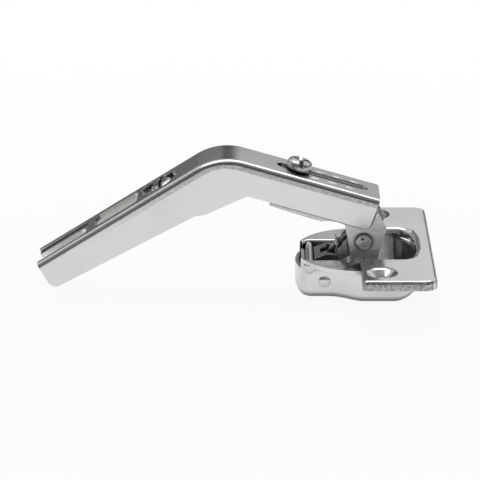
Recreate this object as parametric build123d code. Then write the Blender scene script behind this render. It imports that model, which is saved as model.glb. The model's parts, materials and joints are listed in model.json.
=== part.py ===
"""Concealed cabinet hinge with an angled arm, standing part open.

Millimetres. The origin is the centre of the 35 mm cup on the door's face.
X runs from the arm's free end towards the cup's screw flange, Y runs along
the hinge pins and Z points out of the door.
"""
import math
import os

from build123d import *

# Sheet and standard drilling
CUP_SHEET = 1.1
ARM_SHEET = 1.2
CUP_RADIUS = 17.5
CUP_DEPTH = 10.8
SCREW_SPACING = 48.0
SCREW_OFFSET = 6.0
SCREW_HOLE_R = 2.3
COUNTERSINK_R = 4.5

# Pot of the cup: narrow round the pins, wide under the flange
NARROW_HALF = 9.3
WIDE_HALF = 13.2
STEP_FROM = -5.0
STEP_TO = 1.5
POT_CORNER_R = 3.4
POT_BOTTOM_R = 2.4
LAND_TOP = 0.8
LAND_MOUTH_R = 0.9
NOTCH_HALF = 7.0
NOTCH_Z = -2.2
NOTCH_DEPTH = 2.2

# Screw flange and the mouth that is drawn down from it
FLANGE_LEFT = 0.4
FLANGE_MARGIN = 3.6
FLANGE_HALF = 31.0
FLANGE_TOP = 2.85
FLANGE_FAR_R = 3.5
FLANGE_NEAR_R = 1.6
FLANGE_MOUTH_R = 1.7
MOUTH_SQUARE = 1.8
MOUTH_FLAT_HALF = 4.5
MOUTH_FAR_R = 8.0
MOUTH_SIDE_R = 4.5
RAMP_LONG = 3.0
BOSS_WALL = 0.9

# Pivots in the side view, as X and Z
OUTER_PIN_INSET = 4.0
OUTER_PIN_Z = -1.1
INNER_PIN_INSET = 8.1
INNER_PIN_Z = -5.5
CUP_OUTER = (OUTER_PIN_INSET - CUP_RADIUS, OUTER_PIN_Z)
CUP_INNER = (INNER_PIN_INSET - CUP_RADIUS, INNER_PIN_Z)
ARM_LOWER = (1.6, 5.4)
ARM_UPPER = (0.2, 11.2)
CUP_PIN_R = 1.2
RIVET_R = 1.1
RIVET_HEAD_R = 2.3
RIVET_HEAD = 0.9
ARM_PIN_R = 1.1

# Clearances
RUNNING = 0.06
SIDE_GAP = 0.1
OPEN_PIVOT = 0.8
SLIDE_GAP = 0.1
THREAD_GAP = 0.05

# Outer arm: its top line, its lower edge and what is cut into its web
ARM_REACH = 90.4
ARM_RISE = 31.25
ARM_HALF = 7.5
ARM_EDGE_R = 1.5
ARM_END_DEPTH = 7.3
BEND_R = 16.0
BEND_X = -39.2
LEFT_END_Z = -1.2
LEFT_TOP_END = (-ARM_REACH, LEFT_END_Z)
BEND_TOP = (BEND_X, ARM_RISE)
RIGHT_TOP_END = (6.1, 18.0)
RIGHT_LOW_END = (2.9, 9.3)
LEFT_LOW_END = (4.3 - ARM_REACH, LEFT_END_Z - ARM_END_DEPTH)
BEND_UNDER = [
    (BEND_X + 8.1, ARM_RISE - 11.95), (BEND_X - 3.8, ARM_RISE - 17.45), (BEND_X - 6.6, ARM_RISE - 17.85)]
RIGHT_LOW_R = 1.7
LEFT_LOW_R = 2.5
SLOT_HALF = 1.85
SLOT_FROM = -21.0
SLOT_TO = 1.05
WINDOW_X = 22.3 - ARM_REACH
WINDOW_LONG = 14.2
WINDOW_WIDE = 8.2
WINDOW_R = 1.5
SEAT_FROM = 14.2 - ARM_REACH
SEAT_WIDE = 9.4
SEAT_STEP = 0.7
REAR_SLOT_TIP = 13.4 - ARM_REACH
REAR_SLOT_WIDE = 5.2
RECESS_X = 34.2 - ARM_REACH
RECESS_LONG = 12.4
RECESS_WIDE = 8.6
RECESS_DEPTH = 1.5
PRESS_WALL = 1.0

# Screws
DEPTH_SCREW_X = -16.8
SIDE_SCREW_X = RECESS_X + 0.5
SCREW_SHANK_R = 1.7
SCREW_SHANK = 5.5
SCREW_HEAD_R = 3.7
SCREW_HEAD = 2.5
SIDE_SHANK_R = 2.0
SIDE_SHANK = 6.5
SIDE_HEAD_R = 3.3
SIDE_HEAD = 1.4
DRIVE_WIDE = 1.1
DRIVE_DEEP = 0.9

# Links and spring
LINK_SHEET = 1.4
RIVET_EYE_R = 2.2
PIN_EYE_R = 2.3
LINK_EYE_WALL = 1.1
PLATE_HALF = 1.3
NOTCH_GAP = 0.4
FORK_REACH = 5.4
NOTCH_REACH = 3.4
WIRE_R = 0.5

# Widths that follow from the sheet and the gaps
LUG_OUTER = ARM_HALF - ARM_SHEET - SLIDE_GAP
CHEEK_OUTER = LUG_OUTER - ARM_SHEET - SIDE_GAP
CHEEK_INNER = CHEEK_OUTER - LINK_SHEET
FLANGE_RIGHT = CUP_RADIUS + FLANGE_MARGIN
FAR = 6 * CUP_RADIUS


def section(points):
    return make_face(Polyline(*points, close=True))


def slab(outline, y_low, y_high):
    """Push a side view outline through the width between two Y values."""
    plane = Plane(origin=(0, y_high, 0), x_dir=(1, 0, 0), z_dir=(0, -1, 0))
    return extrude(plane * outline, amount=y_high - y_low)


def disc(centre, radius, y_low, y_high):
    return slab(Pos(*centre) * Circle(radius), y_low, y_high)


def both_sides(outline, y_inner, y_outer):
    return slab(outline, y_inner, y_outer) + slab(outline, -y_outer, -y_inner)


def unit(start, end):
    length = math.dist(start, end)
    return ((end[0] - start[0]) / length, (end[1] - start[1]) / length)


def toward(point, direction, distance):
    return (point[0] + direction[0] * distance, point[1] + direction[1] * distance)


def around(centre, offsets):
    return [(centre[0] + x, centre[1] + z) for x, z in offsets]


def between(start, end, marks):
    """Points given as a share of the way between two pivots and a distance off that line."""
    direction = unit(start, end)
    up = (-direction[1], direction[0])
    length = math.dist(start, end)
    return [toward(toward(start, direction, share * length), up, off) for share, off in marks]


LEFT_DIR = unit(LEFT_TOP_END, BEND_TOP)
RIGHT_DIR = unit(BEND_TOP, RIGHT_TOP_END)
LEFT_UP = (-LEFT_DIR[1], LEFT_DIR[0])
RIGHT_UP = (-RIGHT_DIR[1], RIGHT_DIR[0])


def left_point(x):
    """Point of the left run's top line at a given X."""
    return toward(LEFT_TOP_END, LEFT_DIR, (x - LEFT_TOP_END[0]) / LEFT_DIR[0])


def right_point(x):
    return toward(BEND_TOP, RIGHT_DIR, (x - BEND_TOP[0]) / RIGHT_DIR[0])


def web_plane(point, direction, up):
    """Plane on the web's top face, its X along the arm."""
    return Plane(origin=(point[0], 0, point[1]), x_dir=(direction[0], 0, direction[1]), z_dir=(up[0], 0, up[1]))


def left_web(x):
    return web_plane(left_point(x), LEFT_DIR, LEFT_UP)


def right_web(x):
    return web_plane(right_point(x), RIGHT_DIR, RIGHT_UP)


def rolled(plan, height, radius, bands, outward=False):
    """Prism whose far rim turns in, or flares out, by a radius made of flat bands."""
    body = extrude(plan, amount=height - radius)
    for band in range(bands):
        low = math.pi / 2 * band / bands
        high = math.pi / 2 * (band + 1) / bands
        rise = radius * (math.sin(high) - math.sin(low))
        run = radius * (math.cos(low) - math.cos(high))
        lean = math.degrees(math.atan2(run, rise))
        rim = make_face(body.faces().sort_by(Axis.Z)[-1].outer_wire())
        body += extrude(rim, amount=rise, taper=-lean if outward else lean)
    return body


def pot_plan(inset):
    """Plan of the pot, with an S on each side between its narrow and wide parts."""
    middle = (STEP_FROM + STEP_TO) / 2
    half_way = (NARROW_HALF + WIDE_HALF) / 2
    rise = WIDE_HALF - NARROW_HALF
    bend = ((STEP_TO - STEP_FROM) ** 2 + rise ** 2) / (4 * rise)
    half = [
        Line((-FAR, NARROW_HALF), (STEP_FROM, NARROW_HALF)),
        RadiusArc((STEP_FROM, NARROW_HALF), (middle, half_way), bend),
        RadiusArc((middle, half_way), (STEP_TO, WIDE_HALF), -bend),
        Line((STEP_TO, WIDE_HALF), (FAR, WIDE_HALF)),
        Line((FAR, WIDE_HALF), (FAR, 0)),
        Line((FAR, 0), (-FAR, 0)),
        Line((-FAR, 0), (-FAR, NARROW_HALF)),
    ]
    upper = make_face(Wire(half))
    plan = (upper + mirror(upper, Plane.XZ)) & Circle(CUP_RADIUS)
    corners = [v for v in plan.vertices() if abs(math.hypot(v.X, v.Y) - CUP_RADIUS) < 0.01 and abs(v.Y) > 1]
    plan = fillet(corners, POT_CORNER_R)
    return offset(plan, amount=-inset) if inset else plan


def mouth_plan(inset):
    """Squared mouth above the door, where the arm comes down."""
    side = CUP_RADIUS - MOUTH_SQUARE
    half = [(STEP_TO, WIDE_HALF), (side, WIDE_HALF), (CUP_RADIUS, MOUTH_FLAT_HALF)]
    outline = section(half + [(x, -y) for x, y in reversed(half)])
    outline = fillet(outline.vertices().group_by(Axis.X)[-1], MOUTH_FAR_R)
    square = [v for v in outline.vertices() if v.X > STEP_TO + 1 and abs(abs(v.Y) - WIDE_HALF) < 0.01]
    outline = fillet(square, MOUTH_SIDE_R)
    return offset(outline, amount=-inset) if inset else outline


def flange():
    """Screw flange: a tray of sheet standing on its turned edges, with two pressed countersinks."""
    outline = Pos((FLANGE_LEFT + FLANGE_RIGHT) / 2, 0) * Rectangle(FLANGE_RIGHT - FLANGE_LEFT, 2 * FLANGE_HALF)
    outline = fillet(outline.vertices().group_by(Axis.X)[-1], FLANGE_FAR_R)
    outline = fillet(outline.vertices().group_by(Axis.X)[0], FLANGE_NEAR_R)
    sheet = rolled(outline, FLANGE_TOP, CUP_SHEET, 2)
    sheet -= extrude(offset(outline, amount=-CUP_SHEET), amount=FLANGE_TOP - CUP_SHEET)
    sink = COUNTERSINK_R - SCREW_HOLE_R
    for y in (-SCREW_SPACING / 2, SCREW_SPACING / 2):
        place = Pos(SCREW_OFFSET, y, FLANGE_TOP)
        boss = Cone(SCREW_HOLE_R + BOSS_WALL, COUNTERSINK_R + BOSS_WALL, sink)
        sheet += place * Pos(0, 0, -sink / 2 - CUP_SHEET / 4) * boss
        sheet -= place * Pos(0, 0, -sink / 2) * Cone(SCREW_HOLE_R, COUNTERSINK_R, sink)
        sheet -= place * Cylinder(SCREW_HOLE_R, 2 * FLANGE_TOP)
    return sheet


def hinge_cup():
    """Cup pressed from one sheet: pot, round land, ramp, screw flange and the mouth between them."""
    right_of_step = Pos(STEP_TO + FAR / 2, 0) * Rectangle(FAR + 1, FAR)
    pot_top = LAND_TOP - CUP_SHEET / 4
    pot = Pos(0, 0, pot_top) * Rot(180, 0, 0) * rolled(pot_plan(0), CUP_DEPTH + pot_top, POT_BOTTOM_R, 2)
    land = Pos(0, 0, LAND_TOP - CUP_SHEET / 2) * Cylinder(CUP_RADIUS, CUP_SHEET)
    land &= Pos(STEP_TO + 0.5 - FAR / 2, 0, 0) * Box(FAR, FAR, FAR)
    neck = extrude(pot_plan(0) + (mouth_plan(0) & right_of_step), amount=FLANGE_TOP - CUP_SHEET / 2)
    neck &= Pos(FLANGE_LEFT + FAR / 2, 0, 0) * Box(FAR, FAR, FAR)
    ramp_foot = FLANGE_LEFT - RAMP_LONG
    ramp = slab(section([
        (ramp_foot, LAND_TOP - CUP_SHEET), (ramp_foot, LAND_TOP), (FLANGE_LEFT + CUP_SHEET / 2, FLANGE_TOP - 0.15),
        (FLANGE_LEFT + CUP_SHEET, FLANGE_TOP - 0.15), (FLANGE_LEFT + CUP_SHEET, LAND_TOP - CUP_SHEET)]),
        -WIDE_HALF - BOSS_WALL, WIDE_HALF + BOSS_WALL)
    cup = pot + land + neck + flange() + ramp

    well = Rot(180, 0, 0) * rolled(pot_plan(CUP_SHEET), CUP_DEPTH - CUP_SHEET, POT_BOTTOM_R - CUP_SHEET, 1)
    cup -= well + extrude(pot_plan(CUP_SHEET), amount=2 * FLANGE_TOP)
    cup -= extrude(mouth_plan(CUP_SHEET) & right_of_step, amount=2 * FLANGE_TOP)
    right = Pos(FLANGE_LEFT + CUP_SHEET / 2 + FAR / 2, 0, 0) * Box(FAR, FAR, FAR)
    left = Pos(ramp_foot - FAR / 2, 0, 0) * Box(FAR, FAR, FAR)
    cup -= rolled(mouth_plan(CUP_SHEET), FLANGE_TOP, FLANGE_MOUTH_R, 2, outward=True) & right
    cup -= rolled(pot_plan(CUP_SHEET), LAND_TOP, LAND_MOUTH_R, 1, outward=True) & left
    cup -= Pos(-CUP_RADIUS, 0, NOTCH_Z + FAR / 2) * Box(2 * NOTCH_DEPTH, 2 * NOTCH_HALF, FAR)
    for centre in (CUP_OUTER, CUP_INNER):
        cup -= disc(centre, CUP_PIN_R, -2 * NARROW_HALF, 2 * NARROW_HALF)
    return cup


def cup_pin(centre):
    return disc(centre, CUP_PIN_R, -NARROW_HALF, NARROW_HALF)


def outer_link():
    """Forked link: a plate curled round the pin from below, with two cheeks up to the rivets."""
    direction = unit(CUP_OUTER, ARM_LOWER)
    up = (-direction[1], direction[0])
    top = CUP_PIN_R / 6
    start = toward(toward(CUP_OUTER, direction, CUP_PIN_R + 0.3), up, top)
    end = toward(toward(CUP_OUTER, direction, FORK_REACH), up, top)
    plate = section([start, end, toward(end, up, -LINK_SHEET), toward(start, up, -LINK_SHEET)])
    curl = Pos(*CUP_OUTER) * (Circle(PIN_EYE_R) - Circle(CUP_PIN_R + RUNNING))
    left = toward(CUP_OUTER, direction, -2 * PIN_EYE_R)
    right = toward(CUP_OUTER, direction, 2 * PIN_EYE_R)
    bare = section([CUP_OUTER, right, toward(right, up, 3 * PIN_EYE_R), toward(left, up, 3 * PIN_EYE_R),
                    toward(left, up, 1.3 * PIN_EYE_R)])
    web = slab(plate + (curl - bare), -CHEEK_OUTER, CHEEK_OUTER)
    notch_from = toward(CUP_OUTER, direction, NOTCH_REACH)
    notch_to = toward(CUP_OUTER, direction, 2 * FORK_REACH)
    notch = section([
        toward(notch_from, up, FORK_REACH), toward(notch_from, up, -FORK_REACH),
        toward(notch_to, up, -FORK_REACH), toward(notch_to, up, FORK_REACH)])
    web -= slab(notch, -PLATE_HALF - NOTCH_GAP, PLATE_HALF + NOTCH_GAP)
    cheek = section([start, end] + between(CUP_OUTER, ARM_LOWER, [
        (0.45, -1.01), (0.522, -0.32), (0.676, 1.53), (0.85, 2.37), (1.024, 0.92),
        (1.034, -1.98), (0.79, -2.44), (0.545, -3.21), (0.326, -2.74), (0.096, -1.66)]))
    cheek += Pos(*ARM_LOWER) * Circle(RIVET_EYE_R)
    link = web + both_sides(cheek, CHEEK_INNER, CHEEK_OUTER)
    link -= disc(CUP_OUTER, CUP_PIN_R + RUNNING, -ARM_HALF, ARM_HALF)
    return link - disc(ARM_LOWER, RIVET_R + RUNNING, -ARM_HALF, ARM_HALF)


def inner_link():
    """Thick bowed plate in the middle, from the inner pin up into the arm."""
    plate = section(between(CUP_INNER, ARM_UPPER, [
        (0.021, 2.31), (0.146, 0.93), (0.2, 1.52), (0.273, 2.1), (0.387, 1.87), (0.487, 1.35), (0.672, 0.17),
        (0.759, 0.85), (0.893, 2.17), (1.0, 0.0), (0.953, -2.83), (0.714, -2.47), (0.54, -1.86), (0.345, -1.72),
        (0.105, -1.72), (0.0, 0.0)]))
    plate += Pos(*CUP_INNER) * Circle(PIN_EYE_R)
    plate += Pos(*ARM_UPPER) * Circle(ARM_PIN_R + OPEN_PIVOT + LINK_EYE_WALL)
    plate -= Pos(*CUP_INNER) * Circle(CUP_PIN_R + RUNNING)
    plate -= Pos(*ARM_UPPER) * Circle(ARM_PIN_R + OPEN_PIVOT)
    return slab(plate, -PLATE_HALF, PLATE_HALF)


def arm_rivets():
    """Two short rivets, each through a cheek of the link and a lug of the arm."""
    shank = both_sides(Pos(*ARM_LOWER) * Circle(RIVET_R), CHEEK_INNER, LUG_OUTER)
    return shank + both_sides(Pos(*ARM_LOWER) * Circle(RIVET_HEAD_R), LUG_OUTER, LUG_OUTER + RIVET_HEAD)


def arm_pin():
    return disc(ARM_UPPER, ARM_PIN_R, -LUG_OUTER, LUG_OUTER)


def closing_spring():
    """Torsion spring on the inner pin, its leg hooked over the inner link."""
    radius = CUP_PIN_R + 0.15 + WIRE_R
    near_y = -PLATE_HALF - SIDE_GAP - WIRE_R
    turn = Pos(CUP_INNER[0] + radius, near_y, CUP_INNER[1]) * RegularPolygon(WIRE_R, 6)
    foot = (CUP_INNER[0] + radius, CUP_INNER[1])
    leg = [foot] + between(CUP_INNER, ARM_UPPER, [(0.211, -0.44), (0.423, 0.07), (0.534, 1.99)])
    wire = revolve(turn, Axis((CUP_INNER[0], 0, CUP_INNER[1]), (0, 1, 0)))
    for start, end in zip(leg, leg[1:]):
        lean = math.degrees(math.atan2(end[0] - start[0], end[1] - start[1]))
        middle = Pos((start[0] + end[0]) / 2, near_y, (start[1] + end[1]) / 2)
        length = math.dist(start, end) + WIRE_R
        wire += middle * Rot(0, lean, 0) * extrude(RegularPolygon(WIRE_R, 6), amount=length / 2, both=True)
    return wire + slab(Pos(*leg[-1]) * RegularPolygon(WIRE_R, 6), near_y - WIRE_R, PLATE_HALF)


def inner_arm():
    """Channel inside the arm with two lugs that reach down to the cup."""
    drop = ARM_SHEET + SLIDE_GAP
    end_x = ARM_LOWER[0] + 3.4
    back_x = SLOT_FROM - 4.2
    top_left = toward(right_point(back_x), RIGHT_UP, -drop)
    top_right = toward(right_point(end_x), RIGHT_UP, -drop)
    outline = section([top_left, top_right] + around(ARM_LOWER, [
        (3.4, 9.4), (3.9, 8.5), (6.5, 3.6), (5.5, 0.4), (4.7, -2.6), (4.1, -5.0), (3.0, -6.4), (0.4, -7.1),
        (-2.4, -7.1), (-3.5, -6.3), (-4.2, -1.1), (-4.9, 2.9), (-5.4, 5.0), (-7.6, 5.8), (-9.5, 6.1),
        (-12.3, 6.1), (-15.1, 6.9), (-20.8, 8.7), (-26.5, 10.7)]))
    foot = outline.vertices().sort_by(Axis.Y)[0:4]
    body = slab(fillet(foot, 0.8), -LUG_OUTER, LUG_OUTER)
    long_edges = [
        e for e in body.edges().filter_by(GeomType.LINE)
        if e.length > SCREW_OFFSET * 4 and abs(e.center().Z - right_point(e.center().X)[1] + drop / RIGHT_UP[1]) < 0.05]
    body = fillet(long_edges, ARM_EDGE_R - 0.2)
    under = toward(top_left, RIGHT_UP, -ARM_SHEET)
    hollow = section([
        toward(under, RIGHT_DIR, -ARM_HALF), toward(under, RIGHT_DIR, FAR),
        toward(toward(under, RIGHT_DIR, FAR), RIGHT_UP, -FAR), toward(toward(under, RIGHT_DIR, -ARM_HALF), RIGHT_UP, -FAR)])
    arm = body - slab(hollow, ARM_SHEET - LUG_OUTER, LUG_OUTER - ARM_SHEET)
    arm -= disc(ARM_LOWER, RIVET_R, -ARM_HALF, ARM_HALF)
    arm -= disc(ARM_UPPER, ARM_PIN_R, -ARM_HALF, ARM_HALF)
    return arm - right_web(DEPTH_SCREW_X) * Cylinder(SCREW_SHANK_R + THREAD_GAP, ARM_HALF)


def bend_point(inset):
    """Corner of the two top lines after both are lowered by the inset."""
    a = toward(LEFT_TOP_END, LEFT_UP, -inset)
    b = toward(RIGHT_TOP_END, RIGHT_UP, -inset)
    cross = LEFT_DIR[0] * RIGHT_DIR[1] - LEFT_DIR[1] * RIGHT_DIR[0]
    along = ((b[0] - a[0]) * RIGHT_DIR[1] - (b[1] - a[1]) * RIGHT_DIR[0]) / cross
    return toward(a, LEFT_DIR, along)


def nearest(outline, point):
    return min(outline.vertices(), key=lambda v: math.dist((v.X, v.Y), point))


def arm_outline():
    """Side view of the arm's outside."""
    outline = section([LEFT_TOP_END, BEND_TOP, RIGHT_TOP_END, RIGHT_LOW_END] + BEND_UNDER + [LEFT_LOW_END])
    outline = fillet(nearest(outline, BEND_TOP), BEND_R)
    outline = fillet(nearest(outline, RIGHT_LOW_END), RIGHT_LOW_R)
    return fillet(nearest(outline, LEFT_LOW_END), LEFT_LOW_R)


def hollow_outline():
    """Side view of the space under the web, open below and at both ends."""
    corner = bend_point(ARM_SHEET)
    left = toward(corner, LEFT_DIR, -2 * FAR)
    right = toward(corner, RIGHT_DIR, 2 * FAR)
    outline = section([left, corner, right, toward(corner, LEFT_UP, -3 * FAR)])
    return fillet(nearest(outline, corner), BEND_R - ARM_SHEET)


def on_top_line(edge):
    """True for the web's long edges: both straight runs and the bend between them."""
    start, middle, end = edge @ 0, edge @ 0.5, edge @ 1
    if abs(abs(middle.Y) - ARM_HALF) > 0.01 or abs(start.Y - end.Y) > 0.01 or edge.length < ARM_HALF / 2:
        return False
    off_left = (middle.X - LEFT_TOP_END[0]) * LEFT_UP[0] + (middle.Z - LEFT_TOP_END[1]) * LEFT_UP[1]
    off_right = (middle.X - RIGHT_TOP_END[0]) * RIGHT_UP[0] + (middle.Z - RIGHT_TOP_END[1]) * RIGHT_UP[1]
    bend = edge.geom_type == GeomType.CIRCLE and middle.Z > RIGHT_TOP_END[1]
    return abs(off_left) < 0.05 or abs(off_right) < 0.05 or bend


def outer_arm():
    """Long angled channel with its rear seat and slot, window, screw recess and long slot."""
    body = slab(arm_outline(), -ARM_HALF, ARM_HALF)
    body = fillet([e for e in body.edges() if on_top_line(e)], ARM_EDGE_R)
    arm = body - slab(hollow_outline(), ARM_SHEET - ARM_HALF, ARM_HALF - ARM_SHEET)
    arm = sink_seat(arm)
    arm = sink_recess(arm)
    window = extrude(RectangleRounded(WINDOW_LONG, WINDOW_WIDE, WINDOW_R), amount=2 * ARM_SHEET, both=True)
    arm -= left_web(WINDOW_X) * window
    arm -= left_web(SIDE_SCREW_X) * Cylinder(SIDE_SHANK_R + THREAD_GAP, ARM_HALF)
    slot = (SLOT_TO - SLOT_FROM) / RIGHT_DIR[0]
    cut = extrude(SlotCenterToCenter(slot, 2 * SLOT_HALF), amount=2 * ARM_SHEET, both=True)
    return arm - right_web(SLOT_FROM) * Pos(slot / 2, 0, 0) * cut


def sink_seat(arm):
    """Lower the free end's web by a step and open a slot in it."""
    length = (SEAT_FROM - LEFT_TOP_END[0]) / LEFT_DIR[0]
    front = left_web(SEAT_FROM)
    pad = front * Pos(-length / 2 + PRESS_WALL / 2, 0, -ARM_SHEET - SEAT_STEP / 2)
    arm += pad * Box(length + PRESS_WALL, SEAT_WIDE + 2 * PRESS_WALL, SEAT_STEP)
    arm -= front * Pos(-length, 0, 0) * Box(2 * length, SEAT_WIDE, 2 * SEAT_STEP)
    slot = SlotOverall(2 * length, REAR_SLOT_WIDE)
    return arm - left_web(REAR_SLOT_TIP) * Pos(-length, 0, 0) * extrude(slot, amount=3 * ARM_SHEET, both=True)


def sink_recess(arm):
    """Press a long bowl into the web round the side screw."""
    outside = SlotOverall(RECESS_LONG + 2 * PRESS_WALL, RECESS_WIDE + 2 * PRESS_WALL)
    pad = Pos(0, 0, -ARM_SHEET - RECESS_DEPTH) * extrude(outside, amount=RECESS_DEPTH + 0.1)
    bowl = Pos(0, 0, -RECESS_DEPTH) * extrude(SlotOverall(RECESS_LONG, RECESS_WIDE), amount=2 * RECESS_DEPTH)
    return arm + left_web(RECESS_X) * pad - left_web(RECESS_X) * bowl


def screw(shank_r, shank, head_r, head):
    """Slotted screw standing just above the XY plane, its shank pointing down."""
    base = SLIDE_GAP / 2
    body = Pos(0, 0, base + head / 2) * Cylinder(head_r, head)
    body += Pos(0, 0, (base - shank) / 2) * Cylinder(shank_r, shank + base)
    return body - Pos(0, 0, base + head) * Box(3 * head_r, DRIVE_WIDE, 2 * DRIVE_DEEP)


def depth_screw():
    return right_web(DEPTH_SCREW_X) * screw(SCREW_SHANK_R, SCREW_SHANK, SCREW_HEAD_R, SCREW_HEAD)


def side_screw():
    sunk = left_web(SIDE_SCREW_X) * Pos(0, 0, -RECESS_DEPTH)
    return sunk * screw(SIDE_SHANK_R, SIDE_SHANK, SIDE_HEAD_R, SIDE_HEAD)


def main():
    os.makedirs("parts", exist_ok=True)
    shapes = {
        "hinge_cup": hinge_cup(),
        "cup_pin_outer": cup_pin(CUP_OUTER),
        "cup_pin_inner": cup_pin(CUP_INNER),
        "outer_link": outer_link(),
        "inner_link": inner_link(),
        "closing_spring": closing_spring(),
        "inner_arm": inner_arm(),
        "arm_rivet": arm_rivets(),
        "arm_pin": arm_pin(),
        "outer_arm": outer_arm(),
        "depth_screw": depth_screw(),
        "side_screw": side_screw(),
    }
    for node, shape in shapes.items():
        box = shape.bounding_box()
        print(node, len(shape.solids()), round(shape.volume, 1), box.min, box.max)
        export_step(shape, f"parts/{node}.step")


main()
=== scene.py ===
import json
import math

import bmesh
import bpy
from mathutils import Matrix, Vector


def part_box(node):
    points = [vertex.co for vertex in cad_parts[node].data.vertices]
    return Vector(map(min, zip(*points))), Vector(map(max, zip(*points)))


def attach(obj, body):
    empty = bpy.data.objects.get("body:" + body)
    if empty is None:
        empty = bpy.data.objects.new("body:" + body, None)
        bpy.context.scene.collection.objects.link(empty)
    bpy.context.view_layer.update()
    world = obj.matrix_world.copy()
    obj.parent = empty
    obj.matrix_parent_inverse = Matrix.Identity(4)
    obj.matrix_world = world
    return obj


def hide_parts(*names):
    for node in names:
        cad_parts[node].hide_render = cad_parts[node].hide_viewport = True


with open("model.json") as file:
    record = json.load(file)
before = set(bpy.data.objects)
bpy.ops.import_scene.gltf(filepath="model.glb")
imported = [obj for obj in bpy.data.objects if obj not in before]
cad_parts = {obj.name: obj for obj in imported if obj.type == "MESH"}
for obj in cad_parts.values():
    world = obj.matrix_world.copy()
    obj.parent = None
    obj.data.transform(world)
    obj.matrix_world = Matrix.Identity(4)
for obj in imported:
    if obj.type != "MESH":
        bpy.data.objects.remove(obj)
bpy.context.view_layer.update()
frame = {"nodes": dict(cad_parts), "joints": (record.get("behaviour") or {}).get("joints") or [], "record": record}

RECORD = frame["record"]
JOINT = {j["name"]: j for j in frame["joints"]}
BODY_OF = {node: body for body, nodes in RECORD["behaviour"]["bodies"].items() for node in nodes}
SLOT_OF = {s["node"]: s["material_slot"] for s in RECORD["subparts"]}


# Sizes and places, in millimetres in the frame's axes unless a line says otherwise

MM = 0.001
ACROSS = Vector((0, 1, 0))

# Corners that turn by less than these angles are shaded smooth. The cup's rounds have coarser facets.
SMOOTH_BELOW = math.radians(38)
CUP_SMOOTH_BELOW = math.radians(50)

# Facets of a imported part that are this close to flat, and corners this close together, are joined
FLAT_BELOW = math.radians(0.3)
JOIN_WITHIN = 0.001

# Widths of the broken edges
SHEET_EDGE = 0.16
LINK_EDGE = 0.1
SCREW_EDGE = 0.14
RIVET_EDGE = 0.08

# Screw flange of the cup: its sheared rim is beyond these places, and one countersink is painted dark as shade.
# A face counts as a wall there where the share of its normal along Z is below a limit.
RIM_X = 20.5
EAR_TIP_Y = 30.0
EAR_BACK_X, EAR_BACK_Y = 1.0, 15.0
RIM_FOOT_Z = 0.5
RIM_WALL, SINK_WALL = 0.9, 0.95
SHADE_SINK_AT = (6.0, 24.0)
SHADE_SINK_R = 4.6

# Side plates of the outer arm: the faces beyond this plane that point more or less along Y.
# The rough strip under their folded edge, whose colour is painted darker as shade, is measured down from the arm's
# top lines, and grows along X.
SIDE_PLATE_Y = 7.3
SIDE_FACING = 0.7
FOLD_BLEND = 6.0
FOLD_SHADE_FOOT = (-2.8, -2.3)
FOLD_SHADE_GROWS = (-80, -38)

# Pot: half its width before and after the place where it widens, and the section of the skin there,
# as pairs of depth behind the wall and height
STEP_X = (-7.6, 2.0)
NARROW_HALF, WIDE_HALF = 9.3, 13.2
STEP_SECTION = (
    (0, -0.31), (0, -8.4), (0.7, -10.1), (2.4, -10.81), (3.4, -10.81),
    (3.4, -10.5), (1.3, -9.9), (0.5, -8.4), (0.5, -0.31))
STEP_COLUMNS = 32
SKIN_PROUD = 0.01

# Screws: the head's underside over its seat, its dome as pairs of inset from the rim and share of the
# head's height, the crossed slots and the thread
SEAT_GAP = 0.2
UNDERSIDE_INSET, CHAMFER_INSET, CHAMFER = 0.35, 0.05, 0.25
DOME = ((0.0, 0.4), (0.15, 0.66), (0.5, 0.86), (1.1, 0.96))
CROWN_SHARE = 0.5
SLOT_WIDTH, SLOT_DEEPEST, SLOT_DEPTH_SHARE = 1.15, 1.45, 0.65
CROSS_WIDTH, CROSS_DEPTH, CROSS_SHARE = 1.0, 0.65, 1.2
HEAD_OVERLAP = 0.02
THREAD_TOP, PLAIN_TIP = -0.2, 0.6
THREAD_PITCH, THREAD_DEPTH, THREAD_SHARPNESS = 0.8, 0.3, 1.3
THREAD_RINGS, THREAD_FACETS = 6, 24

# Turned ends, as pairs of radius and height over the face that they stand on
PIN_END = ((0, -0.3), (1.65, -0.3), (1.68, 0.0), (1.52, 0.15), (1.15, 0.33), (0.6, 0.43), (0, 0.46))
TOOTH = ((0, -0.15), (1.1, -0.15), (1.1, 0.0), (0.85, 0.09), (0.4, 0.14), (0, 0.15))
PIN_FACETS, TOOTH_FACETS, PIT_FACETS = 32, 24, 16

# Rivets: the head, its crown as pairs of inset from the rim and height, the shank, and the punch's pit
# with its heights over the head's top
RIVET_HEAD, RIVET_HEAD_R = 0.9, 2.3
RIVET_CROWN = ((0.0, 0.45), (0.12, 0.68), (0.45, 0.84))
CROWN_DROP = 0.01
RIVET_SHANK, RIVET_SHANK_R = 2.7, 1.1
PIT_AT = (-0.3, 1.0, 0)
PIT_FOOT, PIT_LIP, PIT_ABOVE = -0.35, -0.2, 0.3
PIT_R, PIT_TOP_R = 0.3, 0.55

# Teeth beside the long slot: places along the arm from the depth screw, and off its middle
TEETH_PAIRS = 3
TEETH_FROM, TEETH_STEP, TEETH_STAGGER = 5.8, 5.0, 0.8
TEETH_SIDE = 3.1
TOOTH_STRETCH = (1.5, 0.6, 1.0, 1.0)

# Closing spring: its turn from one angle to another in degrees, and the points of its leg as shares of
# the way from pin to eye and heights off that line
WIRE_R, COIL_R = 0.5, 1.85
COIL_FROM, COIL_TO, COIL_STEP = -350, -20, 10
LEG_POINTS = ((0.211, -0.44), (0.423, 0.07), (0.534, 1.99))

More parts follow.
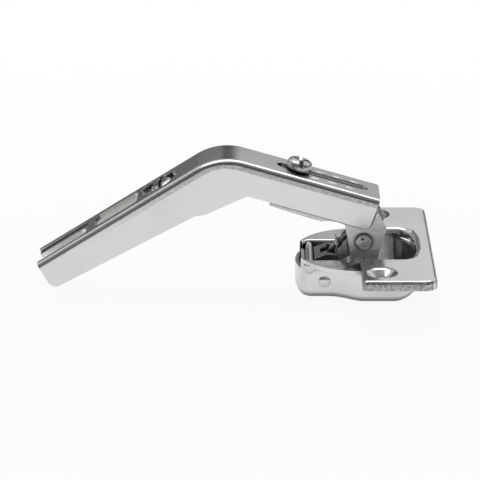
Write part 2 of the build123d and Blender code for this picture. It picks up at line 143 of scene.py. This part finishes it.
# Floor, lamp and camera
FLOOR_AT = (-35, -20, -11.2)
FLOOR_HALF = 500
SHADOW_REACH = (60, 280)
LAMP_AT = (-100, 120, 850)
LAMP_AIM = (-30, 0, 0)
LAMP_SIZE = (1200, 450)
CAMERA_AT = (-33.17, -751.2, 278.8)
CAMERA_LENS, CAMERA_SENSOR = 211.6, 36.0
CAMERA_CLIP = (50, 20000)

# Angle in degrees, power in watts, and brightness where 1 is white
CAMERA_DOWN = 20.12
LAMP_POWER = 3.4
PAPER = (0.93, 0.93, 0.93)
PAPER_BY_HINGE = 0.92
PAPER_IN_METAL = 0.62

# Cards: brightness, left and right edge, low and high edge, place behind the hinge, and the width of
# each soft side
CARDS = {
    "dark_card_bend": {"glow": 0.03, "x": (-60, 30), "z": (100, 180), "y": 300, "soft": (8, 60)},
    "grey_card_bend": {"glow": 0.17, "x": (-170, -34), "z": (70, 180), "y": 302, "soft": (14, 14)},
}

# Room: brightness against height, from level at 0 to straight up at 1, behind the hinge and in front.
# The two halves join over a range of the direction along Y.
ROOM_BEHIND = (
    (0.0, 0.09), (0.11, 0.08), (0.17, 0.10), (0.22, 0.28), (0.27, 0.50),
    (0.31, 0.58), (0.35, 0.78), (0.50, 0.80), (0.70, 0.50), (1.0, 0.45))
ROOM_FRONT = ((0.0, 0.14), (0.65, 0.16), (0.88, 0.26), (0.98, 0.45))
ROOM_JOINS = (-0.3, 0.3)

# Steel: scales in repeats per metre, and ranges and shares of each pattern
CLOUD_SCALE = 60.0
CLOUD_RANGE = (0.3, 0.7)
CLOUD_SHARE = 0.04
LINE_SCALE = (90.0, 1600.0, 1600.0)
ROUGH_SPREAD = 0.05
SPECK_RANGE = (0.42, 0.58)
# Share of the colour left in the strip under the fold, painted darker as shade
FOLD_SHADE_DARKER = 0.72
NOISE_DETAIL = 3.0
# Painted shade in crevices: occlusion samples, and the occlusion values between full painted shade and none
CREVICE_SHADE_SAMPLES = 12
CREVICE_SHADE_RANGE = (0.70, 0.96)
GRAIN_DEPTH = 0.2


# Shader helpers

def millimetres(values):
    """Millimetres as a list in the scene's metres."""
    return [value * MM for value in values]


def shade(colour, share):
    """Colour at a share of its brightness."""
    return tuple(min(1.0, c * share) for c in colour)


def node(tree, kind, **values):
    """New shader node with its settings or inputs given by name."""
    item = tree.nodes.new(kind)
    for key, value in values.items():
        if hasattr(item, key) and key not in item.inputs:
            setattr(item, key, value)
        else:
            item.inputs[key].default_value = value
    return item


def empty_material(name):
    """New node material with nothing but its output."""
    mat = bpy.data.materials.new(name)
    mat.use_nodes = True
    tree = mat.node_tree
    tree.nodes.clear()
    return mat, tree, node(tree, "ShaderNodeOutputMaterial")


def remap(tree, value, before, after=(0.0, 1.0), smooth=False):
    """Value moved from one range to another, with soft ends if smooth."""
    item = node(tree, "ShaderNodeMapRange", interpolation_type="SMOOTHSTEP" if smooth else "LINEAR")
    for name, number in zip(("From Min", "From Max", "To Min", "To Max"), (*before, *after)):
        item.inputs[name].default_value = number
    tree.links.new(value, item.inputs["Value"])
    return item.outputs["Result"]


def joined(tree, operation, first, second):
    """Two values joined by a maths node; each is a number or another node's output."""
    item = node(tree, "ShaderNodeMath", operation=operation)
    for socket, value in zip(item.inputs, (first, second)):
        if isinstance(value, float):
            socket.default_value = value
        else:
            tree.links.new(value, socket)
    return item.outputs[0]


def colour_mix(tree, factor, first, second):
    """Colour between two colours; each is written out or another node's output."""
    mix = node(tree, "ShaderNodeMix", data_type="RGBA")
    tree.links.new(factor, mix.inputs["Factor"])
    for socket, value in (("A", first), ("B", second)):
        if isinstance(value, tuple):
            mix.inputs[socket].default_value = (*value, 1)
        else:
            tree.links.new(value, mix.inputs[socket])
    return mix.outputs["Result"]


def shader_mix(tree, factor, first, second):
    """Shader between two shaders."""
    blend = node(tree, "ShaderNodeMixShader")
    for socket, value in zip(blend.inputs, (factor, first, second)):
        tree.links.new(value, socket)
    return blend.outputs["Shader"]


def noise(tree, place, scale):
    """Noise over a surface, in repeats per unit of place."""
    field = node(tree, "ShaderNodeTexNoise", Scale=scale, Detail=NOISE_DETAIL)
    tree.links.new(place, field.inputs["Vector"])
    return field.outputs["Fac"]


# Materials

def metal(name, colour, rough, crevice_shade=0.05, reach=1.1, grain=0.06, grain_size=0.5, mottle=0.0, shade_band=None):
    """Plated steel: cloudy plating with fine drawing lines, painted darker as shade where another face is close
    by.

    tarnish is the share of the colour left in a crevice as painted shade, and reach is how far that painted shade
    comes out, in mm.
    grain is the strength of the small bumps and grain_size their size in mm. mottle adds the dark and
    bright specks of a sheared or rough pressed face, and band builds a mask that limits them to a strip painted
    darker as shade.
    """
    mat, tree, out = empty_material(name)
    link = tree.links.new
    bsdf = node(tree, "ShaderNodeBsdfPrincipled", Metallic=1.0)
    link(bsdf.outputs["BSDF"], out.inputs["Surface"])
    place = node(tree, "ShaderNodeTexCoord").outputs["Object"]
    speck = noise(tree, place, 1 / (grain_size * MM))
    clouds = remap(tree, noise(tree, place, CLOUD_SCALE), CLOUD_RANGE)
    face = colour_mix(tree, clouds, shade(colour, 1 - CLOUD_SHARE), shade(colour, 1 + CLOUD_SHARE))
    if mottle:
        # With a band, the speckled strip is also painted darker, as shade under the fold
        speck_and_shade_colour = shade(colour, FOLD_SHADE_DARKER) if shade_band else colour
        specks = remap(tree, speck, SPECK_RANGE)
        speck_and_shade_face = colour_mix(tree, specks, shade(speck_and_shade_colour, 1 - mottle), speck_and_shade_colour)
        face = colour_mix(tree, shade_band(tree, place), face, speck_and_shade_face) if shade_band else speck_and_shade_face
    # Painted shade: where ambient occlusion finds other faces within reach, the colour is darkened
    near = node(tree, "ShaderNodeAmbientOcclusion", samples=CREVICE_SHADE_SAMPLES, Distance=reach * MM)
    clear = remap(tree, near.outputs["AO"], CREVICE_SHADE_RANGE)
    link(colour_mix(tree, clear, shade(colour, crevice_shade), face), bsdf.inputs["Base Color"])
    squeeze = node(tree, "ShaderNodeMapping")
    squeeze.inputs["Scale"].default_value = LINE_SCALE
    link(place, squeeze.inputs["Vector"])
    lines = noise(tree, squeeze.outputs["Vector"], 1.0)
    dull = remap(tree, lines, (0.0, 1.0), (rough - ROUGH_SPREAD, rough + ROUGH_SPREAD))
    link(dull, bsdf.inputs["Roughness"])
    dent = node(tree, "ShaderNodeBump", Strength=grain, Distance=GRAIN_DEPTH * MM)
    link(speck, dent.inputs["Height"])
    link(dent.outputs["Normal"], bsdf.inputs["Normal"])
    return mat


def height_over(tree, place, joint):
    """Height of a place over a screw's seat, along that screw's axis."""
    offset = node(tree, "ShaderNodeVectorMath", operation="SUBTRACT")
    offset.inputs[1].default_value = JOINT[joint]["pos_m"]
    tree.links.new(place, offset.inputs[0])
    rise = node(tree, "ShaderNodeVectorMath", operation="DOT_PRODUCT")
    rise.inputs[1].default_value = JOINT[joint]["axis"]
    tree.links.new(offset.outputs["Vector"], rise.inputs[0])
    return rise.outputs["Value"]


def fold_shade_mask(tree, place):
    """Mask of the rough strip that folding left below the arm's top lines, where the colour is also painted darker
    as shade, 0 on the rest of a plate.
    """
    heights = [height_over(tree, place, joint) for joint in ("side_screw_turn", "depth_screw_turn")]
    top = node(tree, "ShaderNodeMath", operation="SMOOTH_MAX")
    top.inputs[2].default_value = FOLD_BLEND * MM
    for socket, height in zip(top.inputs, heights):
        tree.links.new(height, socket)
    strip = remap(tree, top.outputs["Value"], millimetres(FOLD_SHADE_FOOT), smooth=True)
    split = node(tree, "ShaderNodeSeparateXYZ")
    tree.links.new(place, split.inputs["Vector"])
    grown = remap(tree, split.outputs["X"], millimetres(FOLD_SHADE_GROWS), smooth=True)
    return joined(tree, "MULTIPLY", strip, grown)


# Every steel paints shade into its crevices. The cup's painted shade reaches 3 mm, darkening the pot under the
# flange and inside the cup
SHEET = metal("plated_sheet", (0.80, 0.80, 0.79), 0.20, crevice_shade=0.4, reach=0.6)
CUP_SHEET = metal("plated_cup", (0.81, 0.81, 0.80), 0.20, crevice_shade=0.36, reach=3.0)
TUMBLED = metal(
    "tumbled_sheet", (0.78, 0.78, 0.77), 0.36, crevice_shade=0.08, grain=0.4, grain_size=0.8, mottle=0.12)
# Side plates: the speckled strip under the fold is painted darker as shade
FOLD_SHADED = metal(
    "folded_side_shade", (0.80, 0.80, 0.79), 0.22, grain=0.12, grain_size=0.35, mottle=0.35, shade_band=fold_shade_mask)
SHEARED = metal("sheared_edge", (0.62, 0.62, 0.61), 0.34, grain=0.7, grain_size=0.6, mottle=0.45)
# Far countersink: a dark colour painted in as the shade inside the hole
PAINTED_SINK = metal("painted_shade_sink", (0.30, 0.30, 0.30), 0.30, crevice_shade=0.4, grain=0.4, mottle=0.4)
# The links' colour is darker than the other steel as painted shade, for the shade they lie in inside the cup
LINK_PAINTED_SHADE = metal("link_steel", (0.48, 0.48, 0.48), 0.28, crevice_shade=0.25, reach=0.9)
PIN = metal("pin_steel", (0.70, 0.70, 0.69), 0.22)
RIVET = metal("rivet_steel", (0.66, 0.66, 0.66), 0.34, grain=0.5, mottle=0.25)
BRIGHT_END = metal("pin_end_steel", (0.72, 0.72, 0.71), 0.16, crevice_shade=0.2, reach=0.8)
SCREW = metal("screw_steel", (0.74, 0.74, 0.72), 0.24, crevice_shade=0.06, grain=0.5, mottle=0.25)
SPRING = metal("spring_steel", (0.72, 0.72, 0.71), 0.16, crevice_shade=0.2)
FINISH = {
    "plated_sheet": SHEET,
    "link_steel": LINK_PAINTED_SHADE,
    "pin_steel": PIN,
    "screw_steel": SCREW,
    "spring_steel": SPRING,
}


# Making and shaping pieces

def add_piece(name, bm, materials, body, stands_for=()):
    """Put a mesh into the scene as a piece that rides on a body."""
    bmesh.ops.recalc_face_normals(bm, faces=bm.faces)
    mesh = bpy.data.meshes.new(name)
    bm.to_mesh(mesh)
    bm.free()
    for mat in materials:
        mesh.materials.append(mat)
    mesh.shade_smooth()
    mesh.set_sharp_from_angle(angle=SMOOTH_BELOW)
    piece = bpy.data.objects.new(name, mesh)
    bpy.context.scene.collection.objects.link(piece)
    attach(piece, body)
    if stands_for:
        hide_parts(*stands_for)
    return piece


def add_finish(name, bm, materials):
    """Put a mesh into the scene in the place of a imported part."""
    return add_piece(name + "_finish", bm, materials, BODY_OF[name], [name])


def broken_edges(piece, width, sharp=SMOOTH_BELOW):
    """Small rounded corners, as on tumbled and plated parts."""
    soft = piece.modifiers.new("broken_edges", "BEVEL")
    soft.width = width * MM
    soft.segments = 2
    soft.limit_method = "ANGLE"
    soft.angle_limit = sharp
    soft.harden_normals = True
    flat = piece.modifiers.new("flat_walls", "WEIGHTED_NORMAL")
    flat.keep_sharp = True
    flat.weight = 50


def cut_with(piece, build):
    """Cut a piece with a solid that build draws, and keep only the result."""
    bm = bmesh.new()
    build(bm)
    bmesh.ops.recalc_face_normals(bm, faces=bm.faces)
    mesh = bpy.data.meshes.new("cutter")
    bm.to_mesh(mesh)
    bm.free()
    cutter = bpy.data.objects.new("cutter", mesh)
    bpy.context.scene.collection.objects.link(cutter)
    saw = piece.modifiers.new("cut", "BOOLEAN")
    saw.operation = "DIFFERENCE"
    saw.solver = "EXACT"
    saw.object = cutter
    graph = bpy.context.evaluated_depsgraph_get()
    result = bpy.data.meshes.new_from_object(piece.evaluated_get(graph))
    piece.modifiers.clear()
    piece.data = result
    result.set_sharp_from_angle(angle=SMOOTH_BELOW)
    bpy.data.objects.remove(cutter)


def facing(origin, normal):
    """Matrix from millimetres on a face, its Z along the face's normal, to the frame."""
    turn = Vector(normal).to_track_quat("Z", "Y").to_matrix().to_4x4()
    return Matrix.Translation(origin) @ turn @ Matrix.Scale(MM, 4)


def web_place(origin, up):
    """Matrix from millimetres on the arm's web, its X along the arm and its Z out of the web."""
    along = ACROSS.cross(up)
    turn = Matrix((along, up.cross(along), up)).transposed().to_4x4()
    return Matrix.Translation(origin) @ turn @ Matrix.Scale(MM, 4)


def middle(name):
    """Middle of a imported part's box."""
    low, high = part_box(name)
    return (low + high) / 2


def lathe(bm, place, profile, steps=48, wobble=None):
    """Turned body from pairs of radius and height; wobble may change a radius with angle and height."""
    rings = []
    for radius, height in profile:
        if radius == 0:
            rings.append([bm.verts.new(place @ Vector((0, 0, height)))])
            continue
        ring = []
        for k in range(steps):
            angle = 2 * math.pi * k / steps
            r = radius + (wobble(angle, height) if wobble else 0.0)
            ring.append(bm.verts.new(place @ Vector((r * math.cos(angle), r * math.sin(angle), height))))
        rings.append(ring)
    for low, high in zip(rings, rings[1:]):
        for k in range(steps):
            corners = [low[k % len(low)], low[(k + 1) % steps % len(low)],
                       high[(k + 1) % steps % len(high)], high[k % len(high)]]
            bm.faces.new(list(dict.fromkeys(corners)))


def block(bm, place, size, centre):
    """Box of a size round a centre."""
    spread = Matrix.Translation(centre) @ Matrix.Diagonal((*size, 1))
    bmesh.ops.create_cube(bm, size=1.0, matrix=place @ spread)


def tube(bm, points, radius, sides=14):
    """Round wire along a path, closed at both ends."""
    rings = []
    across = ACROSS
    angles = [2 * math.pi * i / sides for i in range(sides)]
    for k, point in enumerate(points):
        ahead = (points[min(k + 1, len(points) - 1)] - points[max(k - 1, 0)]).normalized()
        across = (across - ahead * across.dot(ahead)).normalized()
        third = ahead.cross(across)
        spokes = [(across * math.cos(a) + third * math.sin(a)) * radius for a in angles]
        rings.append([bm.verts.new((point + spoke) * MM) for spoke in spokes])
    for low, high in zip(rings, rings[1:]):
        for i in range(sides):
            j = (i + 1) % sides
            bm.faces.new((low[i], low[j], high[j], high[i]))
    bm.faces.new(rings[0])
    bm.faces.new(list(reversed(rings[-1])))


def eased(points, rounds=3):
    """Path with its corners cut again and again until they are round."""
    for _ in range(rounds):
        cut = [points[0]]
        for a, b in zip(points, points[1:]):
            cut += [a * 0.75 + b * 0.25, a * 0.25 + b * 0.75]
        points = cut + [points[-1]]
    return points


# Cup, arms and links

def dressed(name, materials, edge=SHEET_EDGE, choose=None, sharp=SMOOTH_BELOW):
    """Copy of a packed sheet part with joined facets, smooth walls and broken edges."""
    bm = bmesh.new()
    bm.from_mesh(frame["nodes"][name].data)
    bmesh.ops.remove_doubles(bm, verts=bm.verts, dist=JOIN_WITHIN * MM)
    bmesh.ops.dissolve_limit(bm, angle_limit=FLAT_BELOW, verts=bm.verts, edges=bm.edges)
    for face in bm.faces:
        face.material_index = choose(face) if choose else 0
    piece = add_finish(name, bm, materials)
    piece.data.set_sharp_from_angle(angle=sharp)
    broken_edges(piece, edge, sharp)


def cup_finish(face):
    """1 for the sheared rim of the screw flange, 2 for the far countersink, painted dark as shade, 0 elsewhere."""
    place = face.calc_center_median() / MM
    upright = abs(face.normal.z)
    ear_back = place.x < EAR_BACK_X and abs(place.y) > EAR_BACK_Y
    outside = place.x > RIM_X or abs(place.y) > EAR_TIP_Y or ear_back
    if outside and place.z > RIM_FOOT_Z and upright < RIM_WALL:
        return 1
    off_sink = math.hypot(place.x - SHADE_SINK_AT[0], place.y - SHADE_SINK_AT[1])
    return 2 if off_sink < SHADE_SINK_R and upright < SINK_WALL else 0


def on_side(face):
    """1 for the outer faces of the outer arm's side plates, 0 for the rest."""
    outside = abs(face.calc_center_median().y) > SIDE_PLATE_Y * MM
    return 1 if outside and abs(face.normal.y) > SIDE_FACING else 0


def pot_steps():
    """Smooth skins over the two places where the drawn pot widens, behind the pins and under the flange."""
    first, last = STEP_X
    corners = len(STEP_SECTION)
    bm = bmesh.new()
    for side in (-1, 1):
        columns = []
        for k in range(STEP_COLUMNS + 1):
            t = k / STEP_COLUMNS
            wall = NARROW_HALF + (WIDE_HALF - NARROW_HALF) * t * t * (3 - 2 * t) + SKIN_PROUD
            columns.append([
                bm.verts.new(Vector((first + (last - first) * t, side * (wall - inset), z)) * MM)
                for inset, z in STEP_SECTION])
        for one, two in zip(columns, columns[1:]):
            for i in range(corners):
                j = (i + 1) % corners
                bm.faces.new((one[i], one[j], two[j], two[i]))
        bm.faces.new(columns[0])
        bm.faces.new(columns[-1])
    piece = add_piece("pot_steps", bm, [CUP_SHEET], "cup")
    piece.data.set_sharp_from_angle(angle=CUP_SMOOTH_BELOW)
    broken_edges(piece, SHEET_EDGE, CUP_SMOOTH_BELOW)


# Screws, pins, rivets, teeth and spring

def screw_head(bm, place, radius, head):
    """Domed head whose underside stands a little over its seat."""
    top = SEAT_GAP + head
    profile = [(0, SEAT_GAP), (radius - UNDERSIDE_INSET, SEAT_GAP)]
    profile += [(radius - CHAMFER_INSET, SEAT_GAP + CHAMFER)]
    profile += [(radius - inset, SEAT_GAP + share * head) for inset, share in DOME]
    profile += [(CROWN_SHARE * radius, top), (0, top)]
    lathe(bm, place, profile)


def screw_shank(bm, place, radius, length):
    """Threaded shank below the seat, joined to the head by a short neck."""
    core = radius - THREAD_DEPTH
    neck = SEAT_GAP + HEAD_OVERLAP
    threaded = length + THREAD_TOP
    rings = int(threaded / THREAD_PITCH * THREAD_RINGS)
    heights = [THREAD_TOP - threaded * k / rings for k in range(rings + 1)]

    def crest(angle, height):
        if height >= THREAD_TOP or height < PLAIN_TIP - length:
            return 0.0
        phase = (height / THREAD_PITCH - angle / (2 * math.pi)) % 1.0
        return THREAD_DEPTH * max(0.0, 1 - abs(2 * phase - 1) * THREAD_SHARPNESS)

    profile = [(0, neck), (core, neck)] + [(core, height) for height in heights] + [(0, heights[-1])]
    lathe(bm, place, profile, THREAD_FACETS, crest)


def screw(name, joint, sink, head_r, head, shank_r, shank):
    """Raised head with a crossed slot over a threaded shank, turning about its own joint."""
    up = Vector(JOINT[joint]["axis"])
    place = web_place(Vector(JOINT[joint]["pos_m"]) - up * sink * MM, up)
    bm = bmesh.new()
    screw_head(bm, place, head_r, head)
    piece = add_finish(name, bm, [SCREW])
    slot = (SLOT_WIDTH, 3 * head_r, 2 * min(SLOT_DEEPEST, SLOT_DEPTH_SHARE * head))
    cross = (CROSS_SHARE * head_r, CROSS_WIDTH, 2 * CROSS_DEPTH)
    for size in (slot, cross):
        cut_with(piece, lambda cutter: block(cutter, place, size, (0, 0, SEAT_GAP + head)))
    bm = bmesh.new()
    bm.from_mesh(piece.data)
    screw_shank(bm, place, shank_r, shank)
    bmesh.ops.recalc_face_normals(bm, faces=bm.faces)
    bm.to_mesh(piece.data)
    bm.free()
    piece.data.shade_smooth()
    piece.data.set_sharp_from_angle(angle=SMOOTH_BELOW)
    broken_edges(piece, SCREW_EDGE)


def pin_ends(name):
    """Round riveted ends of a cup pin, standing a little proud of both walls."""
    centre = middle(name)
    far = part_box(name)[1].y
    bm = bmesh.new()
    for side in (-1, 1):
        lathe(bm, facing((centre.x, side * far, centre.z), (0, side, 0)), PIN_END, PIN_FACETS)
    add_piece(name + "_ends", bm, [BRIGHT_END], BODY_OF[name])


def rivets():
    """Two short rivets with crowned heads, each with the small pit of the riveting punch."""
    centre = middle("arm_rivet")
    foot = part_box("arm_rivet")[1].y / MM - RIVET_HEAD
    profile = [(0, -RIVET_SHANK), (RIVET_SHANK_R, -RIVET_SHANK), (RIVET_SHANK_R, 0), (RIVET_HEAD_R, 0)]
    profile += [(RIVET_HEAD_R - inset, height) for inset, height in RIVET_CROWN]
    profile += [(CROWN_SHARE * RIVET_HEAD_R, RIVET_HEAD - CROWN_DROP), (0, RIVET_HEAD)]
    pit = [(0, PIT_FOOT), (PIT_R, PIT_LIP), (PIT_TOP_R, PIT_ABOVE), (0, PIT_ABOVE)]
    places = [facing((centre.x, side * foot * MM, centre.z), (0, side, 0)) for side in (-1, 1)]
    bm = bmesh.new()
    for place in places:
        lathe(bm, place, profile)
    piece = add_finish("arm_rivet", bm, [RIVET])

    def punch(cutter):
        for place in places:
            spot = place @ Matrix.Translation(PIT_AT)
            lathe(cutter, spot, [(radius, RIVET_HEAD + height) for radius, height in pit], PIT_FACETS)

    cut_with(piece, punch)
    broken_edges(piece, RIVET_EDGE)


def slot_teeth():
    """Two rows of small stamped teeth beside the long slot, which keep the depth screw from slipping."""
    seat = Vector(JOINT["depth_screw_turn"]["pos_m"])
    up = Vector(JOINT["depth_screw_turn"]["axis"])
    along = ACROSS.cross(up)
    bm = bmesh.new()
    for k in range(TEETH_PAIRS):
        for side in (-1, 1):
            reach = TEETH_FROM + TEETH_STEP * k + TEETH_STAGGER * side
            spot = seat + along * reach * MM + Vector((0, side * TEETH_SIDE * MM, 0))
            lathe(bm, web_place(spot, up) @ Matrix.Diagonal(TOOTH_STRETCH), TOOTH, TOOTH_FACETS)
    add_piece("slot_teeth", bm, [TUMBLED], "outer_arm")


def closing_wire():
    """Wire of the closing spring: a turn round the inner pin, a leg and a hook over the inner link."""
    low, high = [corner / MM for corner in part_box("closing_spring")]
    pin, eye = Vector(JOINT["inner_link_pivot"]["pos_m"]) / MM, middle("arm_pin") / MM
    near = low.y + WIRE_R
    pin.y = eye.y = near
    along = eye - pin
    off = Vector((-along.z, 0, along.x)).normalized()
    angles = [math.radians(degrees) for degrees in range(COIL_FROM, COIL_TO + 1, COIL_STEP)]
    turn = [pin + Vector((math.cos(a), 0, math.sin(a))) * COIL_R for a in angles]
    leg = [pin + along * share + off * height for share, height in LEG_POINTS]
    tip = leg[-1] + Vector((0, high.y - near, 0))
    bm = bmesh.new()
    tube(bm, turn[:-2] + eased(turn[-2:] + leg + [tip]), WIRE_R)
    add_finish("closing_spring", bm, [SPRING])


# The hinge, piece by piece

for name, obj in frame["nodes"].items():
    for slot in obj.material_slots:
        slot.material = FINISH[SLOT_OF[name]]

dressed("hinge_cup", [CUP_SHEET, SHEARED, PAINTED_SINK], choose=cup_finish, sharp=CUP_SMOOTH_BELOW)
dressed("outer_arm", [SHEET, FOLD_SHADED], choose=on_side)
dressed("inner_arm", [TUMBLED])
dressed("outer_link", [LINK_PAINTED_SHADE], edge=LINK_EDGE)
dressed("inner_link", [LINK_PAINTED_SHADE], edge=LINK_EDGE)
pot_steps()
screw("depth_screw", "depth_screw_turn", sink=0.0, head_r=3.7, head=2.95, shank_r=1.7, shank=5.5)
screw("side_screw", "side_screw_turn", sink=1.5, head_r=3.3, head=1.4, shank_r=2.0, shank=6.5)
pin_ends("cup_pin_outer")
pin_ends("cup_pin_inner")
rivets()
slot_teeth()
closing_wire()


# Floor, cards and room

def flat_sheet(name, corners, material):
    """One flat face that isn't part of the hinge."""
    mesh = bpy.data.meshes.new(name)
    mesh.from_pydata([millimetres(corner) for corner in corners], [], [(0, 1, 2, 3)])
    mesh.materials.append(material)
    obj = bpy.data.objects.new(name, mesh)
    bpy.context.scene.collection.objects.link(obj)
    return obj


def floor_material():
    """White paper: seen white all round, with a faint shadow near the hinge."""
    mat, tree, out = empty_material("floor")
    paper = node(tree, "ShaderNodeBsdfPrincipled", Roughness=1.0)
    paper.inputs["Base Color"].default_value = (*PAPER, 1)
    paper.inputs["Specular IOR Level"].default_value = 0.0
    white = node(tree, "ShaderNodeEmission", Strength=1.0)
    path = node(tree, "ShaderNodeLightPath")
    mirrored = joined(tree, "MULTIPLY", path.outputs["Is Glossy Ray"], PAPER_IN_METAL)
    seen = joined(tree, "MAXIMUM", path.outputs["Is Camera Ray"], mirrored)
    far = node(tree, "ShaderNodeVectorMath", operation="LENGTH")
    tree.links.new(node(tree, "ShaderNodeTexCoord").outputs["Object"], far.inputs[0])
    lift = remap(tree, far.outputs["Value"], millimetres(SHADOW_REACH), (PAPER_BY_HINGE, 1.0), smooth=True)
    share = joined(tree, "MULTIPLY", seen, lift)
    blend = shader_mix(tree, share, paper.outputs["BSDF"], white.outputs["Emission"])
    tree.links.new(blend, out.inputs["Surface"])
    return mat


def lay_floor():
    """Floor under the hinge and well beyond the picture."""
    half = FLOOR_HALF
    corners = [(-half, -half, 0), (half, -half, 0), (half, half, 0), (-half, half, 0)]
    floor = flat_sheet("floor", corners, floor_material())
    floor.location = millimetres(FLOOR_AT)


def card(name, glow, x, z, y, soft):
    """Upright studio card with soft side edges, behind the hinge, that only the metal reflects."""
    left, right = x
    low, high = z
    mat, tree, out = empty_material(name)
    shine = node(tree, "ShaderNodeEmission", Strength=glow)
    gap = node(tree, "ShaderNodeBsdfTransparent")
    split = node(tree, "ShaderNodeSeparateXYZ")
    tree.links.new(node(tree, "ShaderNodeTexCoord").outputs["Object"], split.inputs["Vector"])
    fades = ((left, left + soft[0]), (right, right - soft[1]))
    masks = [remap(tree, split.outputs["X"], millimetres(fade), smooth=True) for fade in fades]
    share = joined(tree, "MULTIPLY", *masks)
    blend = shader_mix(tree, share, gap.outputs["BSDF"], shine.outputs["Emission"])
    tree.links.new(blend, out.inputs["Surface"])
    obj = flat_sheet(name, [(left, y, low), (right, y, low), (right, y, high), (left, y, high)], mat)
    obj.visible_camera = False
    obj.visible_diffuse = False
    obj.visible_shadow = False


def height_ramp(tree, height, stops):
    """Grey that follows height through pairs of height and brightness."""
    ramp = node(tree, "ShaderNodeValToRGB")
    steps = ramp.color_ramp
    steps.elements[0].position = stops[0][0]
    steps.elements[1].position = stops[-1][0]
    for place, value in stops[1:-1]:
        steps.elements.new(place)
    for element, (place, value) in zip(steps.elements, stops):
        element.position = place
        element.color = (value, value, value, 1)
    tree.links.new(height, ramp.inputs["Fac"])
    return ramp.outputs["Color"]


def studio_room():
    """Grey studio, dark low down and bright above, and plain white where the camera looks past the hinge."""
    room = bpy.data.worlds.new("studio")
    bpy.context.scene.world = room
    room.use_nodes = True
    tree = room.node_tree
    split = node(tree, "ShaderNodeSeparateXYZ")
    tree.links.new(node(tree, "ShaderNodeTexCoord").outputs["Generated"], split.inputs["Vector"])
    behind = height_ramp(tree, split.outputs["Z"], ROOM_BEHIND)
    front = height_ramp(tree, split.outputs["Z"], ROOM_FRONT)
    side = remap(tree, split.outputs["Y"], ROOM_JOINS, smooth=True)
    walls = colour_mix(tree, side, front, behind)
    path = node(tree, "ShaderNodeLightPath")
    shown = colour_mix(tree, path.outputs["Is Camera Ray"], walls, (1.0, 1.0, 1.0))
    sky = tree.nodes["Background"]
    sky.inputs["Strength"].default_value = 1.0
    tree.links.new(shown, sky.inputs["Color"])


lay_floor()
for name, settings in CARDS.items():
    card(name, **settings)
studio_room()


# Lamp and camera

def add_lamp():
    """Large soft lamp above and behind the hinge."""
    lamp = bpy.data.lights.new("key", "AREA")
    lamp.shape = "RECTANGLE"
    lamp.size, lamp.size_y = millimetres(LAMP_SIZE)
    lamp.energy = LAMP_POWER
    key = bpy.data.objects.new("key", lamp)
    key.location = millimetres(LAMP_AT)
    aim = Vector(millimetres(LAMP_AIM)) - Vector(key.location)
    key.rotation_euler = aim.to_track_quat("-Z", "Y").to_euler()
    bpy.context.scene.collection.objects.link(key)


def add_camera():
    """Camera straight in front of the hinge, looking down on it."""
    cam = bpy.data.cameras.new("camera")
    cam.lens = CAMERA_LENS
    cam.sensor_width = CAMERA_SENSOR
    cam.clip_start, cam.clip_end = millimetres(CAMERA_CLIP)
    camera = bpy.data.objects.new("camera", cam)
    camera.location = millimetres(CAMERA_AT)
    camera.rotation_euler = (math.radians(90 - CAMERA_DOWN), 0, 0)
    bpy.context.scene.collection.objects.link(camera)
    bpy.context.scene.camera = camera


add_lamp()
add_camera()
bpy.context.scene.view_settings.view_transform = "Standard"
